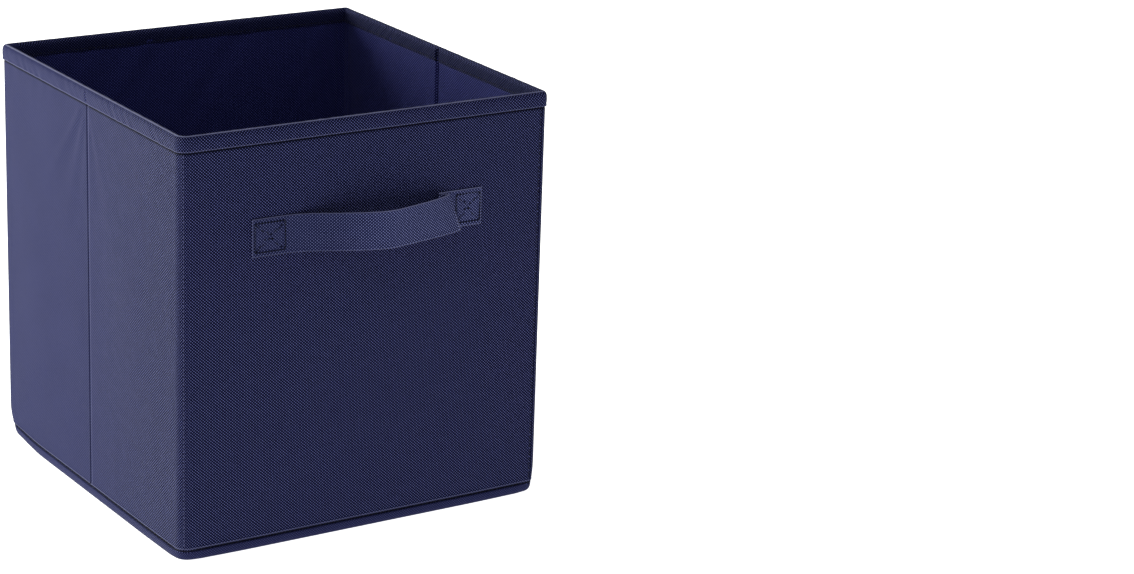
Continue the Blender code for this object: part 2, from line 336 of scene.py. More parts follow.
def stations(first, last, step, marks=(), reach=3.0, fine=0.4):
    """Values from first to last, closer together near the marks, and never nearly the same."""
    least = fine * 0.45
    values = [np.linspace(first, last, max(2, round((last - first) / step) + 1))]
    for mark in marks:
        start, end = max(first, mark - reach), min(last, mark + reach)
        if end > start:
            values.append(np.linspace(start, end, round((end - start) / fine) + 1))
    values = np.unique(np.round(np.concatenate(values), 4))
    keep = np.concatenate([[True], np.diff(values) > least])
    keep[-1] = True
    values = values[keep]
    return np.delete(values, -2) if values[-1] - values[-2] < least else values


def ring_stations(segment, step=3.0):
    """Places across a strip, closer together over a fold and near a corner and its stitched lines."""
    first, last, _ = SEGMENTS[segment]
    if "fold" in segment:
        return np.linspace(first, last, 25)
    corners = [(k + 0.5) * SIDE for k in range(-3, 3)]
    marks = [corner + away for corner in corners for away in (-9, -CHANNEL_INSET, 0, CHANNEL_INSET, 9)]
    return stations(first, last, step, marks, reach=3.5, fine=0.5)


# ---------------------------------------------------------------- soft relief


def smooth(value, start, end):
    share = np.clip((value - start) / (end - start), 0, 1)
    return share * share * (3 - 2 * share)


def ridge(value, centre, width):
    return np.exp(-(((value - centre) / width) ** 2))


def ripple(q, z, seed, wavelength, count=7):
    """Gentle waves in many directions, about 1 high."""
    chance = np.random.default_rng(seed)
    total = np.zeros(np.broadcast(q, z).shape)
    for _ in range(count):
        angle, phase = chance.uniform(0, math.pi), chance.uniform(0, 2 * math.pi)
        rate = 2 * math.pi / (wavelength * chance.uniform(0.7, 1.5))
        total = total + np.sin(rate * (q * math.cos(angle) + z * math.sin(angle)) + phase)
    return total / math.sqrt(count)


def panel_share(q):
    """How far across its panel a place is, from 0 to 1."""
    side, u = side_of(q)
    halved = (np.abs(u) - FOLD) / (BEND - FOLD)
    whole = (u + BEND) / (2 * BEND)
    return np.clip(np.where(side % 2 == 1, halved, whole), 0, 1)


def inside_panel(q, z):
    """1 well inside a panel, and 0 along its edges."""
    share = panel_share(q)
    level = (z - FABRIC_LOW) / (RIM_SEAM - FABRIC_LOW)
    across = smooth(share, 0, 0.1) * smooth(share, 1, 0.9)
    return across * smooth(level, 0, 0.06) * smooth(level, 1, 0.97)


# Wrinkles behind and in front of a centre fold: angle from straight down and width in degrees, height.
REAR_RAYS = [(42, 3.6, 1.3), (31, 4.0, -0.7), (20, 3.5, 0.8), (11, 3.0, -0.6)]
FRONT_RAYS = [(26, 5.0, 0.5), (14, 4.0, -0.5)]


def fan(q, z, side, direction, rays):
    """Wrinkles that spread from the top of a centre fold, to one side of it."""
    u = (q - spot(side, 0)) * direction
    drop = RIM_SEAM + 3 - z
    away = np.hypot(u, drop)
    angle = np.degrees(np.arctan2(u, np.maximum(drop, 1e-6)))
    total = 0
    for centre, width, height in rays:
        total = total + height * ridge(angle, centre, width)
    return total * smooth(away, 4, 18) * np.exp(-away / 38) * smooth(u, 1.5, 6)


def near_corner(q):
    _, u = side_of(q)
    return smooth(np.abs(u), WALL_OUT - 16, WALL_OUT - 5)


def fold_dip(q, z):
    """The pressed fold down the middle of a side wall: a fine groove with a raised lip."""
    side, u = side_of(q)
    wander = 0.1 * np.sin(z / 21)
    dip = -0.8 * ridge(u, wander, 0.5) + 0.4 * ridge(u, wander + 1.1, 0.42)
    return np.where(side % 2 == 1, dip * smooth(np.abs(u), FOLD, FOLD - 1), 0)


def channel_inset(q):
    return np.where(corner_of(q) == LEFT_FRONT, SEAM_INSET, CHANNEL_INSET)


def channel_dip(q):
    """The stitched line beside each corner, on the front and the back: a raised lip, then a groove."""
    side, u = side_of(q)
    inset = np.abs(u) - WALL_OUT + channel_inset(q)
    return np.where(side % 2 == 0, 0.3 * ridge(inset, 0.9, 0.5) - 0.5 * ridge(inset, 0, 0.5), 0)


def panel_relief(q, z):
    """A wall's crown, its soft waves, and the gathers below the rim."""
    share, level = panel_share(q), np.clip((z - FABRIC_LOW) / (RIM_SEAM - FABRIC_LOW), 0, 1)
    crown = np.sin(math.pi * share) * np.sin(math.pi * level) ** 0.7
    relief = BULGE * crown + 0.16 * ripple(q, z, 3, 60) * inside_panel(q, z)
    gathers = np.exp(-(RIM_SEAM - z) / 7) * ripple(q, z * 0.4, 8, 11)
    return relief + 0.13 * gathers * smooth(share, 0, 0.05) * smooth(share, 1, 0.95)


def outer_relief(q, z):
    """How far the outer fabric stands out from its plain surface."""
    relief = panel_relief(q, z) + fold_dip(q, z) + channel_dip(q)
    for side in (-1, 1):
        relief = relief + fan(q, z, side, side, REAR_RAYS) + fan(q, z, side, -side, FRONT_RAYS)
    relief = relief - 0.45 * ridge(z, RIM_SEAM - 0.2, SEAM_WIDTH)
    foot = 0.55 * ridge(z, FOOT_SEAM + 2.0, 0.6) - 0.7 * ridge(z, FOOT_SEAM + 0.5, 0.6)
    return relief + foot * (1 - 0.5 * near_corner(q))


def outer_depth(q, z):
    return np.maximum(WALL_OUT + outer_relief(q, z), BOARD_OUT + 3 * CLEAR)


def outer_back(q, z):
    front = outer_depth(q, z)
    return np.minimum(np.maximum(front - FABRIC, BOARD_OUT + CLEAR), front - 0.08)


def at_fold(q):
    """1 on a side wall's centre fold, and 0 where its boards begin."""
    side, u = side_of(q)
    return np.where(side % 2 == 1, smooth(np.abs(u), FOLD, 0.4), 0)


def lining_waves(q, z):
    """Soft waves, and slanting pulls up high that are strongest on the back."""
    share = panel_share(q)
    edge = smooth(share, 0, 0.06) * smooth(share, 1, 0.94) * smooth(z, FABRIC_LOW + 2, FABRIC_LOW + 20)
    pulled = ripple(q * 0.8 + z * 0.6, q * 0.1, 31, 17) * smooth(z, 120, 250)
    at_back = np.where(np.abs(side_of(q)[0]) == 2, 1.0, 0.35)
    return (0.22 * ripple(q, z, 21, 45) + 0.3 * pulled * at_back) * edge


def lining_relief(q, z):
    """How far the lining stands into the bin."""
    side, u = side_of(q)
    relief = 0.3 + lining_waves(q, z) - 0.3 * ridge(z, RIM_SEAM - 0.2, SEAM_WIDTH)
    near_fold = ridge(u, 0.2 * np.sin(z / 18), 0.6) * smooth(np.abs(u), FOLD, FOLD - 1)
    relief = relief - np.where(side % 2 == 1, 0.7 * near_fold, 0) - at_fold(q) * FOLD_IN
    return relief - 0.3 * ridge(np.abs(u), WALL_OUT - CHANNEL_INSET - 1.2, 0.6)


def lining_front(q, z):
    return LINING_IN - lining_relief(q, z)


def lining_back(q, z):
    return np.minimum(lining_front(q, z) + FABRIC, LINING_OUT + 0.1 + at_fold(q) * FOLD_IN)


def calm_ends(q):
    """1 across a panel, and 0 at its ends, where one strip has to meet the next."""
    share = panel_share(q)
    return smooth(share, 0, 0.03) * smooth(share, 1, 0.97)


def rim_pucker(q, z, depth):
    """The rim band draws up between its stitches, and is pinched and drawn back at the centre folds."""
    side, u = side_of(q)
    face = np.where(depth > BOARD_OUT, 1, -1)
    small = 0.15 * ripple(q + 0.8 * z, z * 0.3, 12, 8) + 0.08 * ripple(q - 0.5 * z, z, 14, 21)
    slant = 0.25 * (z - RIM_SEAM - 4)
    pinch = np.where(side % 2 == 1, 0.7 * ridge(u + slant, 0, 0.8), 0)
    pinch = pinch * smooth(z, RIM_SEAM + 0.5, RIM_SEAM + 2) * smooth(z, TOP - 0.5, TOP - 3)
    drawn = at_fold(q) * 2.6 * smooth(z, TOP, TOP - 3) * (face < 0)
    return small * calm_ends(q) * face - pinch * face + drawn


def foot_pucker(q, z, depth):
    """The seam band is uneven, and lies closer in round the corners."""
    uneven = 0.07 * ripple(q + 0.5 * z, z, 17, 13) * calm_ends(q) * smooth(z, 0, 2)
    return uneven - 0.02 - 0.9 * near_corner(q)


# ---------------------------------------------------------------- materials


class Nodes:
    """Short names for wiring a material's nodes."""

    def __init__(self, name):
        self.material = bpy.data.materials.new(name)
        self.material.use_nodes = True
        self.tree = self.material.node_tree
        self.shader = self.tree.nodes["Principled BSDF"]

    def add(self, kind, **values):
        node = self.tree.nodes.new(kind)
        for key, value in values.items():
            setattr(node, key, value)
        return node

    def link(self, value, socket):
        if isinstance(value, bpy.types.NodeSocket):
            self.tree.links.new(value, socket)
        else:
            socket.default_value = value

    def math(self, operation, *values):
        node = self.add("ShaderNodeMath", operation=operation)
        for value, socket in zip(values, node.inputs):
            self.link(value, socket)
        return node.outputs[0]

    def spread(self, value, start, end, to_start=0.0, to_end=1.0):
        """value eased from one range into another."""
        node = self.add("ShaderNodeMapRange", interpolation_type="SMOOTHSTEP")
        for item, socket in zip((value, start, end, to_start, to_end), node.inputs):
            self.link(item, socket)
        return node.outputs[0]

    def noise(self, coords, scale, detail=3.0, roughness=0.6):
        node = self.add("ShaderNodeTexNoise")
        self.link(coords, node.inputs["Vector"])
        self.link(scale, node.inputs["Scale"])
        self.link(detail, node.inputs["Detail"])
        self.link(roughness, node.inputs["Roughness"])
        return node.outputs["Fac"]

    def mix(self, share, first, second):
        node = self.add("ShaderNodeMix", data_type="RGBA")
        self.link(share, node.inputs[0])
        self.link(first, node.inputs[6])
        self.link(second, node.inputs[7])
        return node.outputs[2]

    def bump(self, height, distance, before=None):
        node = self.add("ShaderNodeBump")
        node.inputs["Strength"].default_value = 1.0
        node.inputs["Distance"].default_value = distance
        self.link(height, node.inputs["Height"])
        if before is not None:
            self.link(before, node.inputs["Normal"])
        return node.outputs["Normal"]

    def uv(self):
        return self.add("ShaderNodeUVMap", uv_map=UV_NAME).outputs[0]

    def constant(self, **values):
        for name, value in values.items():
            self.shader.inputs[name.replace("_", " ")].default_value = value


def colour(red, green, blue, share=1.0):
    return (red * share, green * share, blue * share, 1.0)


def tinted(base, blue, share=1.0):
    """A colour with a share, blue, of its red and green taken out. Below 0 it adds some."""
    red, green, rest = base
    return colour(red * (1 - blue), green * (1 - blue), rest, share)


def emboss(nodes, uv, size):
    """The pressed pattern: diagonal ribs that cross, stronger one way or the other from place to place."""
    parts = nodes.add("ShaderNodeSeparateXYZ")
    nodes.link(uv, parts.inputs[0])
    column = nodes.math("MULTIPLY", parts.outputs[0], 2 * math.pi / (EMBOSS_X * size * MM))
    row = nodes.math("MULTIPLY", parts.outputs[1], 2 * math.pi / (EMBOSS_Z * size * MM))
    falling = nodes.math("COSINE", nodes.math("ADD", column, row))
    rising = nodes.math("COSINE", nodes.math("SUBTRACT", column, row))
    share = nodes.spread(nodes.noise(uv, 110, 1, 0.4), 0.36, 0.62, 0.4, 0.66)
    return nodes.math("MULTIPLY_ADD", nodes.math("SUBTRACT", falling, rising), share, rising)


def line(nodes, coordinate, centre, width, most):
    """most on a line in the map, fading to 0 at width either side of it. Places are in millimetres."""
    away = nodes.math("ABSOLUTE", nodes.math("SUBTRACT", coordinate, centre * MM))
    return nodes.spread(away, width * MM, 0.0, 0.0, most)


def pattern_share(nodes, uv, across, strength, calm):
    """How much of the pressed pattern shows, from place to place."""
    share = nodes.spread(nodes.noise(uv, 160, 2, 0.5), 0.2, 0.7, 0.8 * strength, strength)
    if calm is None:
        return share
    start, end, left = calm
    return nodes.math("MULTIPLY", share, nodes.spread(across, start * MM, end * MM, left, 1.0))


def cloth_colour(nodes, uv, rib, fibres, share, blue, level):
    """Raised threads painted pale with painted highlight over a ground painted dark with painted shade, and plain
    fibrous cloth where the pattern is weak.
    """
    dull, even, bright = (tinted(PLAIN, blue, k * level) for k in (0.95, 1.05, 1.25))
    plain = nodes.mix(nodes.spread(nodes.noise(uv, 35, 3, 0.55), 0.3, 0.7), dull, even)
    plain = nodes.mix(nodes.spread(fibres, 0.35, 0.75), plain, bright)
    # The pattern's two colours hold painted highlight on the raised threads and painted shade in the pits.
    pressed = nodes.mix(rib, tinted(PITS_AND_SHADE, blue, level), tinted(RAISED_AND_HIGHLIGHT, blue, level))
    return nodes.mix(share, plain, pressed)


def fabric(name, size=1.0, strength=1.0, blue=0.0, level=1.0, lines=(), calm=None, dim=None):
    """Pressed non-woven cloth.

    size is the pattern's scale, strength how much of it shows, and level how bright the cloth is.
    lines are drawn in the piece's own map, in millimetres: axis, place, half width, strength and colour.
    calm is where the pattern, with its painted highlight and shade, fades along a strip: from, to, and the share
    of the pattern left.
    dim is where the cloth is painted darker along its map, as painted shade: axis, from, to, and how much.
    """
    nodes = Nodes(name)
    uv = nodes.uv()
    parts = nodes.add("ShaderNodeSeparateXYZ")
    nodes.link(uv, parts.inputs[0])
    wave, fibres = emboss(nodes, uv, size), nodes.noise(uv, 2600, 4, 0.7)
    rib = nodes.spread(wave, 0.36, 1.0)
    share = pattern_share(nodes, uv, parts.outputs[0], strength, calm)
    shade = cloth_colour(nodes, uv, rib, fibres, share, blue, level)
    for axis, place, width, most, drawn in lines:
        shade = nodes.mix(line(nodes, parts.outputs[axis], place, width, most), shade, colour(*drawn))
    # Painted shade along the map, where dim is given.
    if dim is not None:
        axis, start, end, most = dim
        dimmed = nodes.spread(parts.outputs[axis], start * MM, end * MM, 0.0, most)
        shade = nodes.mix(dimmed, shade, colour(*SHADED))
    grain = nodes.bump(fibres, FIBRE_DEPTH * MM)
    normal = nodes.bump(nodes.math("MULTIPLY", wave, share), EMBOSS_DEPTH * MM, grain)
    nodes.link(shade, nodes.shader.inputs["Base Color"])
    nodes.link(nodes.spread(rib, 0, 1, 0.52, 0.62), nodes.shader.inputs["Roughness"])
    nodes.link(normal, nodes.shader.inputs["Normal"])
    nodes.constant(Sheen_Weight=0.02, Sheen_Roughness=0.5, Specular_IOR_Level=0.02)
    return nodes.material


def thread_finish(name, base):
    """Twisted polyester thread."""
    nodes = Nodes(name)
    uv = nodes.uv()
    twist = nodes.add("ShaderNodeTexWave", wave_type="BANDS", bands_direction="DIAGONAL")
    nodes.link(uv, twist.inputs["Vector"])
    twist.inputs["Scale"].default_value = 700
    twist.inputs["Distortion"].default_value = 0.6
    shade = nodes.mix(twist.outputs["Fac"], colour(*base, 0.6), colour(*base, 1.25))
    nodes.link(shade, nodes.shader.inputs["Base Color"])
    nodes.link(nodes.spread(twist.outputs["Fac"], 0, 1, 0.5, 0.36), nodes.shader.inputs["Roughness"])
    nodes.link(nodes.bump(twist.outputs["Fac"], GRAIN_DEPTH * MM), nodes.shader.inputs["Normal"])
    nodes.constant(Specular_IOR_Level=0.12)
    return nodes.material


def board_finish(name):
    """Grey chipboard with flecks."""
    nodes = Nodes(name)
    coords = nodes.add("ShaderNodeTexCoord").outputs["Object"]
    flecks, broad = nodes.noise(coords, 900, 4, 0.65), nodes.noise(coords, 30, 2)
    ground = nodes.mix(broad, colour(0.32, 0.28, 0.22), colour(0.42, 0.37, 0.30))
    shade = nodes.mix(nodes.spread(flecks, 0.55, 0.8), ground, colour(0.16, 0.13, 0.1))
    nodes.link(shade, nodes.shader.inputs["Base Color"])
    nodes.link(nodes.spread(flecks, 0.2, 0.8, 0.95, 0.8), nodes.shader.inputs["Roughness"])
    nodes.link(nodes.bump(flecks, GRAIN_DEPTH * MM), nodes.shader.inputs["Normal"])
    return nodes.material


PITS_AND_SHADE = (0.0, 0.0003, 0.010)           # the pressed-in places: their own dark, deepened with painted shade
RAISED_AND_HIGHLIGHT = (0.142, 0.160, 0.42)           # the threads that stand out: their own colour, brightened with painted highlight
PLAIN = (0.0138, 0.0160, 0.060)         # where the pattern is too fine or too flat to see
PAINTED_HIGHLIGHT = (0.14, 0.148, 0.27)              # painted highlight on lips, folded edges and folds
PAINTED_SEAM_SHADE = (0.0005, 0.0008, 0.006)          # painted shade down in the seams and the centre folds
SHADED = (0.002, 0.003, 0.022)          # painted shade: inside behind the rim, and towards the strap's left end
ACROSS, UP = 0, 1                       # the axes of a piece's map
# The pattern, with its painted highlight and shade, fades out on the left wall's rear, where the light falls
# evenly, and is whole again at the front corner.
SIDE_CALM = (-2.5 * WALL_OUT, -0.95 * WALL_OUT, 0.12)
# Lines on the outer fabric: painted highlight on the lip over the foot seam and beside each centre fold, painted
# shade along the foot and rim seams and down each centre fold.
OUTER = fabric("outer_fabric", calm=SIDE_CALM, lines=[
    (UP, FOOT_SEAM + 2.0, 0.6, 0.4, PAINTED_HIGHLIGHT), (UP, FOOT_SEAM + 0.5, 0.9, 0.9, PAINTED_SEAM_SHADE),
    (UP, RIM_SEAM - 0.9, 1.5, 0.9, PAINTED_SEAM_SHADE),
    (ACROSS, spot(-1, 2.1), 0.8, 0.3, PAINTED_HIGHLIGHT), (ACROSS, spot(1, 2.1), 0.8, 0.3, PAINTED_HIGHLIGHT),
    (ACROSS, spot(-1, 0), 1.3, 1.0, PAINTED_SEAM_SHADE), (ACROSS, spot(1, 0), 1.3, 1.0, PAINTED_SEAM_SHADE),
])
LINING = fabric("lining_fabric", strength=0.6, blue=0.3, level=1.35)
# Painted highlight along the strap's rolled top and bottom edges.
STRAP_EDGES = [(UP, STRAP_LOW + 0.2, 0.5, 0.7, PAINTED_HIGHLIGHT), (UP, STRAP_HIGH - 0.2, 0.5, 0.8, PAINTED_HIGHLIGHT)]
STRAP_DIM = (ACROSS, 5, -45, 0.4)       # painted shade towards its left end
FLOOR = fabric("floor_fabric_finish")
COVER = fabric("insert_fabric", strength=0.8)
THREAD_FINISH = thread_finish("navy_thread", (0.001, 0.0015, 0.009))
# A paler copy of the navy thread, for the stitches beside the left front corner: painted highlight.
PAINTED_LIT_THREAD = thread_finish("painted_lit_thread", (0.07, 0.076, 0.17))
BOARD = board_finish("chipboard")


# ---------------------------------------------------------------- the walls


def replace_wall_nodes(segment, kind):
    if segment in CAD_WALLS:
        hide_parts(f"{segment}_{kind}")


def build_outer_fabric():
    up = stations(FABRIC_LOW, FABRIC_HIGH, 3.0, (FOOT_SEAM + 1.5, 14, RIM_SEAM), reach=4.5, fine=0.5)
    for segment in SEGMENTS:
        name = f"{segment}_fabric_skin"
        obj = shell(name, ring_stations(segment), up, outer_depth, outer_back, OUTER)
        replace_wall_nodes(segment, "outer_fabric")
        attach(obj, segment)


def build_lining():
    up = stations(FLOOR_TOP + 0.4, FABRIC_HIGH, 3.0, (10, RIM_SEAM), reach=4.0, fine=0.6)
    for segment in SEGMENTS:
        name = f"{segment}_lining_skin"
        obj = shell(name, ring_stations(segment), up, lining_back, lining_front, LINING)
        replace_wall_nodes(segment, "lining")
        attach(obj, segment)


def girth_at(profile, index):
    """How far along a profile one of its points lies."""
    steps = np.linalg.norm(np.diff(np.array(profile[:index + 1]), axis=0), axis=1)
    return float(steps.sum())


def rim_profile():
    """The binding over the top edge: a rolled lip at each lower edge, and a dip along the stitching."""
    out, back, seam = BAND_OUT, RIM_IN, RIM_SEAM
    inner_out, inner_back = out - 0.7, back + 0.7
    outside = [
        (inner_out, seam), (out - 0.25, seam - 0.1), (out, seam + 0.45), (out - 0.1, seam + 0.95),
        (out - 0.2, seam + 1.6), (out - 0.1, seam + 2.4), (out, seam + 4.0), (out - 0.05, TOP - 3.6),
        (out - 0.3, TOP - 2.3), (out - 0.75, TOP - 1.2), (out - 1.4, TOP - 0.45), (out - 2.2, TOP),
    ]
    inside = [(out + back - depth, z) for depth, z in reversed(outside)]
    under = [
        (inner_back, TOP - 1.6), (inner_back + 0.8, TOP - 0.8),
        (inner_out - 0.8, TOP - 0.8), (inner_out, TOP - 1.6),
    ]
    return outside + inside + under


def foot_profile():
    """The seam band: a soft roll down the outside, and in under the wall."""
    out, back, seam = BAND_OUT, FOOT_IN, FOOT_SEAM
    return [
        (out - 0.9, seam - 0.9), (out - 0.75, seam - 0.2), (out - 0.3, seam - 0.35),
        (out - 0.05, seam - 1.1), (out, seam - 2.4), (out - 0.05, 2.6), (out - 0.35, 1.3),
        (out - 1.0, 0.5), (out - 2.1, 0.05), (back, 0.0), (back, 0.65),
        (out - 1.9, 0.75), (out - 1.1, 1.2), (out - 0.75, 2.2),
    ]


def build_bindings():
    """The rim's binding is painted pale along its lip and its top as painted highlight, and painted darker inside
    as painted shade.
    """
    rim, foot = rim_profile(), foot_profile()
    lip, crown, inner = (girth_at(rim, index) for index in (2, 11, 12))
    # Painted highlight along the lip and the top, and painted shade inside the rim.
    edges = [(UP, lip, 0.5, 0.35, PAINTED_HIGHLIGHT), (UP, crown, 1.1, 1.0, PAINTED_HIGHLIGHT)]
    shade = (UP, inner + 1, inner + 4, 0.55)
    rim_finish = fabric("rim_binding_fabric", lines=edges, calm=SIDE_CALM, dim=shade)
    foot_finish = fabric("foot_binding_fabric", size=0.9, strength=0.6, calm=SIDE_CALM)
    for kind, profile, pucker, finish in (
        ("rim_binding", rim, rim_pucker, rim_finish),
        ("foot_binding", foot, foot_pucker, foot_finish),
    ):
        for segment in SEGMENTS:
            name = f"{segment}_{kind}_skin"
            obj = sweep(name, ring_stations(segment, 1.6), profile, pucker, finish)
            replace_wall_nodes(segment, kind)
            attach(obj, segment)


def build_stitching():
    """Rows along the rim outside and inside, along the foot, and beside the corners."""
    rim, groove = RIM_SEAM + 1.6, RIM_SEAM - 0.35
    for segment, (first, last, _) in SEGMENTS.items():
        rows = [
            ring_row((first, groove), (last, groove), WALL_OUT - 0.3),
            inward(ring_row((first, rim), (last, rim), RIM_IN + 0.28)),
            ring_row((first, FOOT_SEAM + 0.4), (last, FOOT_SEAM + 0.4), WALL_OUT - 0.45),
        ]
        for place in channel_places(first, last):
            row = ring_row((place, FOOT_SEAM + 3), (place, RIM_SEAM - 1), WALL_OUT - 0.4)
            # The left front corner's stitches take the paler thread: painted highlight.
            if corner_of(place) == LEFT_FRONT:
                attach(thread(f"{segment}_corner_stitching", *row, PAINTED_LIT_THREAD, FINE_THREAD), segment)
            else:
                rows.append(row)
        obj = thread(f"{segment}_stitching", *joined(rows), THREAD_FINISH)
        attach(obj, segment)


def inward(row):
    starts, ends, normals = row
    return starts, ends, -normals


def channel_places(first, last):
    """Where the vertical stitched lines of the front and back cross a strip."""
    edges = [(side, way) for side in (-2, 0, 2) for way in (-1, 1)]
    insets = [channel_inset(spot(side, way * 0.9 * WALL_OUT)) for side, way in edges]
    places = [spot(side, way * (WALL_OUT - inset)) for (side, way), inset in zip(edges, insets)]
    return [place for place in places if first < place < last]


def build_closing_seam():
    """The tape over the seam that closes the ring of walls, inside the right front corner."""
    tape = "closing_seam_tape"
    near, far = LINING_IN - 0.9, LINING_IN - 0.35
    q = np.linspace(spot(1, -WALL_OUT + 0.3), spot(1, -BEND + 1.5), 12)
    up = stations(low(tape, 2), high(tape, 2), 3.0)

    def wavy(q, z):
        return far + 0.08 * ripple(q, z, 40, 15)

    obj = shell("closing_seam_tape_skin", q, up, wavy, lambda q, z: wavy(q, z) - 0.5, LINING)
    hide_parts(tape)
    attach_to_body(obj, "closing_seam")
    middle = spot(1, -BEND)
    row = inward(ring_row((middle, low(tape, 2) + 2), (middle, high(tape, 2) - 2), near))
    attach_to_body(thread("closing_seam_stitching", *row, THREAD_FINISH), "closing_seam")


# ---------------------------------------------------------------- floor and insert


def square_ring(half, radius, per_side=26, per_corner=7):
    """A rounded square's outline, anticlockwise."""
    quarter = math.pi / 2
    share = np.linspace(0, 1, per_side + 2)[1:-1, None]
    points = []
    for k in range(4):
        angles, diagonal = quarter * k + np.linspace(0, quarter, per_corner), quarter * (k + 0.5)
        centre = (half - radius) * math.sqrt(2) * np.array([math.cos(diagonal), math.sin(diagonal)])
        arc = centre + radius * np.stack([np.cos(angles), np.sin(angles)], -1)
        start, end = arc[-1], np.array([-arc[0][1], arc[0][0]])
        points += [arc, start + (end - start) * share]
    return np.concatenate(points)


def plate(name, rings, relief, finish):
    """A closed body from rounded squares (half size, corner radius, height), from centre to centre."""
    halves, radii, heights = zip(*rings)
    outlines = [square_ring(half, min(radius, half * 0.8)) for half, radius in zip(halves, radii)]
    count = len(outlines[0])
    points = np.column_stack([np.concatenate(outlines), np.repeat(heights, count)])
    share = np.repeat(np.array(halves) / max(halves), count)
    points[:, 2] += relief(points[:, 0], points[:, 1], share)
    faces = grid(len(rings), count, wrap=True) + ends_of(len(rings), count)
    return new_object(name, points, faces, points[:, :2].copy(), finish)


def inner_rings(half, radius, z, steps=16):
    """The rings of a flat face, from its centre to just inside its edge."""
    return [(half * (k + 0.3) / steps, radius * (k + 0.3) / steps, z) for k in range(steps)]


def build_floor():
    """The fabric floor, sewn in along the foot seam."""
    half, radius = FLOOR_HALF + FLOOR_TURN, float(RADIUS_FOOT.max()) - 2
    edge_low, edge_high = 0.72, 0.95
    top = inner_rings(half - 3, radius, FLOOR_TOP) + [
        (half - 2.9, radius, FLOOR_TOP), (half - 1.9, radius, edge_high), (half, radius, edge_high),
    ]
    under = [
        (half, radius, edge_low), (half - 1.9, radius, 0.7), (half - 2.9, radius, 0.15),
        *reversed(inner_rings(half - 3, radius, 0.1)),
    ]

    def wavy(x, y, share):
        most = np.where(y > 0, LIFT[1], LIFT[0])
        corner = most * smooth(half - np.minimum(np.abs(x), np.abs(y)), LIFT_REACH, 0)
        return corner * share**16 + 0.05 * ripple(x, y, 50, 40) * smooth(share, 1, 0.5)

    obj = plate("floor_fabric_skin", top + under, wavy, FLOOR)
    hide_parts("floor_fabric")
    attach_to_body(obj, "back")
    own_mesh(obj)


INSERT_RADIUS = 8.0
INSERT_SEAM = 5.0         # from the insert's edge to the stitches round it
INSERT_DIP = 0.25         # how deep those stitches pull the cover in


def upper_cover_rings():
    """Over the board, with a groove at the stitches, down its edge, and back along the underside."""
    half, radius = INSERT_HALF, INSERT_RADIUS
    top, skirt = high("insert_cover_upper", 2), low("insert_cover_upper", 2)
    seam = half - INSERT_SEAM
    return inner_rings(seam - 2, radius - 2, top, 14) + [
        (seam - 1, radius - 2, top), (seam, radius - 1, top - INSERT_DIP),
        (seam + 1, radius - 1, top - 0.02), (half - 1.2, radius, top),
        (half - 0.4, radius, top - 0.3), (half, radius, top - 1.0),
        (half, radius, skirt + 0.1), (half - FABRIC, radius, skirt),
        (half - FABRIC, radius, top - FABRIC - 0.4),
        *reversed(inner_rings(half - 1.5, radius, top - FABRIC, 14)),
    ]


def lower_cover_rings():
    """A flat sheet with rounded edges."""
    half, radius = INSERT_HALF, INSERT_RADIUS
    bottom, lid = low("insert_cover_lower", 2), high("insert_cover_lower", 2)
    return [
        *inner_rings(half - 1, radius, lid), (half - 0.2, radius, lid), (half, radius, (lid + bottom) / 2),
        (half - 0.2, radius, bottom), *reversed(inner_rings(half - 1, radius, bottom)),
    ]


def build_insert():
    """The loose base: a board between two covers that are sewn together round its edge."""

    def crowned(x, y, share):
        return 0.12 * ripple(x, y, 61, 70) * smooth(share, 1, 0.8)

    for node, rings in (
        ("insert_cover_upper", upper_cover_rings()),
        ("insert_cover_lower", lower_cover_rings()),
    ):
        obj = plate(f"{node}_skin", rings, crowned, COVER)
        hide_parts(node)
        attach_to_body(obj, "insert")


def build_insert_stitching():
    """A row of stitches round the insert, down in its groove."""
    outline = square_ring(INSERT_HALF - INSERT_SEAM, INSERT_RADIUS - 1, 80, 5)
    closed = np.concatenate([outline, outline[:1]])
    middle, step = (closed[1:] + closed[:-1]) / 2, np.diff(closed, axis=0)
    step = step / np.linalg.norm(step, axis=1, keepdims=True) * STITCH_LENGTH / 2
    height = np.full((len(middle), 1), high("insert_cover_upper", 2) - INSERT_DIP)
    starts, ends = np.hstack([middle - step, height]), np.hstack([middle + step, height])
    normals = np.tile([0.0, 0.0, 1.0], (len(middle), 1))
    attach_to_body(thread("insert_stitching", starts, ends, normals, THREAD_FINISH), "insert")


# ---------------------------------------------------------------- the strap

LOOP_HALF = 61.5          # centre to the stitch line where the strap leaves the wall
LOOP_CREST = 5.0          # where it stands off the wall most
STRAP_THICK = 1.4
STRAP_WAIST = 1.0         # the cloth between the strap's folded edges
STRAP_TAPER = 0.7         # each end thins out over this length
STRAP_WAVE = 0.16         # how far its edges flutter
STRAP_HALF = (STRAP_HIGH - STRAP_LOW) / 2
STRAP_MIDDLE = (STRAP_HIGH + STRAP_LOW) / 2
LOOP_BULGE = STRAP_BACK - STRAP_FRONT - STRAP_THICK
LOOP_RIGHT = 52.0         # where the strap leaves the wall on the right, before it folds over
LOOP_LEAN = 16.0          # how far that fold hangs over the sewn end, halfway up


def loop_bulge(x, z):
    """How far the strap stands off the wall: an S rise to the crest, a slope, then a steep fall."""
    power = 8 - 2 * z / STRAP_HALF
    rise = smooth(x, -LOOP_HALF, LOOP_CREST)
    fall = np.clip((x - LOOP_CREST) / (LOOP_RIGHT - LOOP_CREST), 0, 1)
    descent = (1 - fall**power) * (1 - 0.68 * smooth(fall, 0, 1.1))
    return LOOP_BULGE * np.where(x <= LOOP_CREST, rise, descent)


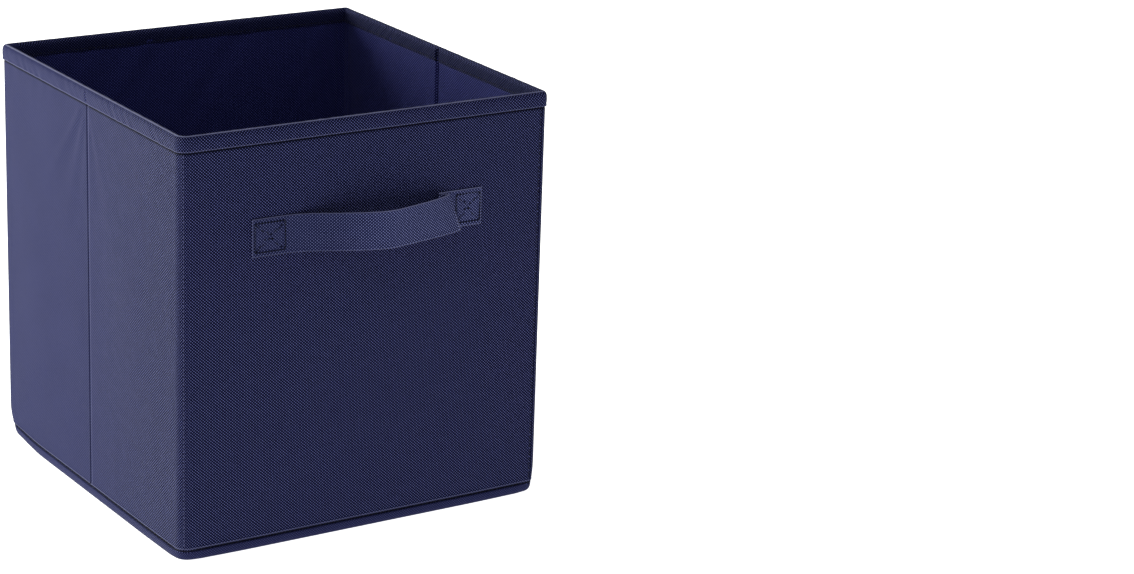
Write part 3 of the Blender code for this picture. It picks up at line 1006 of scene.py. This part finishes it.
def loop_lean(x, z):
    """The loop flops over to the right, so that its fold hangs over the sewn end, most at the bottom."""
    most = LOOP_LEAN * (1 - 0.22 * z / STRAP_HALF)
    return most * smooth(loop_bulge(x, z), 0, LOOP_BULGE / 3) * smooth(x, 10, LOOP_RIGHT - 2)


def strap_section():
    """Half the strap's thickness across its height: rolled edges either side of a flatter middle."""
    half, rim, waist = STRAP_HALF, STRAP_THICK / 2, STRAP_WAIST / 2
    face = [
        (half, 0.0), (half - 0.12, rim * 0.62), (half - 0.5, rim * 0.97), (half - 1.1, rim),
        (half - 1.7, rim * 0.85), (half - 2.3, waist), (half - 6, waist * 1.05), (half * 0.33, waist * 1.1),
    ]
    front = face + [(-z, out) for z, out in reversed(face)]
    return np.array(front + [(z, -out) for z, out in reversed(front[1:-1])])


def strap_surface(x):
    """The strap's points for stations x, with the sideways place and the length of its middle line."""
    section = strap_section()
    across, rise = np.meshgrid(x, section[:, 0], indexing="ij")
    px = across + loop_lean(across, rise)
    y = STRAP_BACK - loop_bulge(across, rise) - STRAP_THICK / 2
    dx, dy = np.gradient(px, axis=0), np.gradient(y, axis=0)
    run = np.hypot(dx, dy)
    end_share = np.clip((STRAP_END - np.abs(across)) / STRAP_TAPER, 0, 1) ** 0.5
    thickness = section[None, :, 1] * np.maximum(end_share, 0.2)
    free = smooth(np.abs(across), LOOP_HALF + 3, LOOP_HALF - 12)
    wave = STRAP_WAVE * np.sin(across / 5.1 + 1) * free
    outward = thickness + wave * (rise / STRAP_HALF) ** 2
    points = np.stack([px + dy / run * thickness, y - dx / run * outward, STRAP_MIDDLE + rise], -1)
    length = np.concatenate([[0], np.cumsum(np.hypot(np.diff(px[:, 0]), np.diff(y[:, 0])))])
    return points, px[:, 0], length


def half_strap(label, first, last, way):
    """Half the strap. Along its map 0 is the loop's crest, so that the pattern runs on across it."""
    x = stations(first, last, 0.8, (LOOP_RIGHT - 0.8,), reach=1.2, fine=0.06)
    points, px, length = strap_surface(x)
    # Painted highlight across the strap's sewn end, and over the fold where it hangs.
    lines = STRAP_EDGES + [(ACROSS, way * (length[-1] - 0.4), 0.5, 0.5, PAINTED_HIGHLIGHT)]
    if way > 0:
        fold = length[np.argmax(np.where(x > LOOP_RIGHT, 0, px))]
        lines = lines + [(ACROSS, float(fold), 1.0, 0.5, PAINTED_HIGHLIGHT)]
    else:
        length = length - length[-1]
    count = points.shape[1]
    uv = np.stack([np.repeat(length[:, None], count, 1), points[..., 2]], -1).reshape(-1, 2)
    faces = grid(len(x), count, wrap=True) + ends_of(len(x), count)
    colouring = {"strength": 0.75, "blue": -0.28, "level": 1.75, "lines": lines, "dim": STRAP_DIM}
    finish = fabric(f"strap_fabric_{label}", **colouring)
    obj = new_object(f"handle_strap_{label}", points.reshape(-1, 3), faces, uv, finish)
    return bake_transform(obj)


def build_strap():
    """The strap in two halves that meet at the loop's crest, each sewn to the wall at its own end."""
    left = half_strap("left", -STRAP_END, LOOP_CREST, -1)
    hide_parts("handle_strap")
    half_strap("right", LOOP_CREST, STRAP_END, 1)


def flat_row(first, last, y, pitch, wander=0.0):
    """Stitches between two (x, z) places on a face towards -Y, each up to wander off the line."""
    middle, half = spaced(first, last, pitch, pitch * 0.66)
    count = len(middle)
    middle = middle + np.random.default_rng(5).uniform(-wander, wander, middle.shape)

    def place(points):
        return np.column_stack([points[:, 0], np.full(count, y), points[:, 1]])

    return place(middle - half), place(middle + half), np.tile([0.0, -1.0, 0.0], (count, 1))


def build_patches():
    """Box stitching with a finer, wandering cross, on each sewn strap end."""
    face = STITCH_FACE + 0.6
    for side, near, far in (
        ("left", 1 - LOOP_HALF, 1.6 - STRAP_END),
        ("right", LOOP_HALF + 2.5, STRAP_END - 1.6),
    ):
        node = f"handle_stitching_{side}"
        z0, z1 = low(node, 2), high(node, 2)
        corners = [(near, z0), (far, z0), (far, z1), (near, z1)]
        box = [flat_row(a, b, face, 2.2) for a, b in zip(corners, corners[1:] + corners[:1])]
        cross = [flat_row(corners[k], corners[k + 2], face, 2.4, 0.9) for k in (0, 1)]
        obj = thread(f"{node}_thread", *joined(box), THREAD_FINISH, THICK_THREAD)
        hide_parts(node)
        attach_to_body(obj, "front")
        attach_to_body(thread(f"handle_cross_{side}_thread", *joined(cross), THREAD_FINISH, FINE_THREAD), "front")


# ---------------------------------------------------------------- camera, stage and light


def aim(obj, place, target):
    """Puts obj at place, with its -Z towards target."""
    obj.location = place
    obj.rotation_euler = (Vector(target) - Vector(place)).to_track_quat("-Z", "Y").to_euler()


CAMERA_PLACE = (-0.96922, -1.81129, 0.79600)
CAMERA_AZIMUTH, CAMERA_DOWN, CAMERA_ROLL = -33.770, 17.943, 2.131       # degrees
CAMERA_LENS = 101.16


def build_camera():
    data = bpy.data.cameras.new("camera")
    data.sensor_width, data.lens = 36.0, CAMERA_LENS
    camera = bpy.data.objects.new("camera", data)
    bpy.context.scene.collection.objects.link(camera)
    heading = Matrix.Rotation(math.radians(CAMERA_AZIMUTH), 4, "Z")
    tilt = Matrix.Rotation(math.radians(90 - CAMERA_DOWN), 4, "X")
    roll = Matrix.Rotation(math.radians(CAMERA_ROLL), 4, "Z")
    camera.matrix_world = Matrix.Translation(CAMERA_PLACE) @ heading @ tilt @ roll
    bpy.context.scene.camera = camera


def softbox(name, place, target, size, watts, tint=(1, 1, 1)):
    data = bpy.data.lights.new(name, "AREA")
    data.shape, data.size, data.energy, data.color = "DISK", size, watts, tint
    lamp = bpy.data.objects.new(name, data)
    bpy.context.scene.collection.objects.link(lamp)
    aim(lamp, place, target)


def pale_floor():
    """Just bright enough to come out as plain white."""
    nodes = Nodes("pale_floor")
    cloudy = nodes.noise(nodes.add("ShaderNodeTexCoord").outputs["Object"], 3)
    shade = nodes.mix(cloudy, colour(0.88, 0.88, 0.88), colour(0.92, 0.92, 0.92))
    nodes.link(shade, nodes.shader.inputs["Base Color"])
    nodes.constant(Roughness=0.9, Emission_Color=(1, 1, 1, 1), Emission_Strength=1.05)
    return nodes.material


def build_studio():
    bpy.ops.mesh.primitive_plane_add(size=30)
    floor = bpy.context.object
    floor.name = "studio_floor"
    floor.data.materials.append(pale_floor())
    world = bpy.data.worlds.new("white_room")
    world.use_nodes = True
    background = world.node_tree.nodes["Background"]
    background.inputs["Color"].default_value = (1, 1, 1, 1)
    background.inputs["Strength"].default_value = 0.52
    bpy.context.scene.world = world
    middle = (0, 0, 0.14)
    softbox("key", (-2.05, 1.35, 0.62), middle, 1.2, 100, tint=(1.0, 1.0, 0.77))
    softbox("top", (-0.7, -0.75, 1.6), middle, 0.5, 4)
    bpy.context.scene.view_settings.view_transform = "Standard"


def finish_boards():
    for name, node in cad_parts.items():
        if name.endswith("_board"):
            node.data.materials.clear()
            node.data.materials.append(BOARD)


build_camera()
build_studio()
build_outer_fabric()
build_lining()
build_bindings()
build_stitching()
build_closing_seam()
build_floor()
build_insert()
build_insert_stitching()
build_strap()
build_patches()
finish_boards()
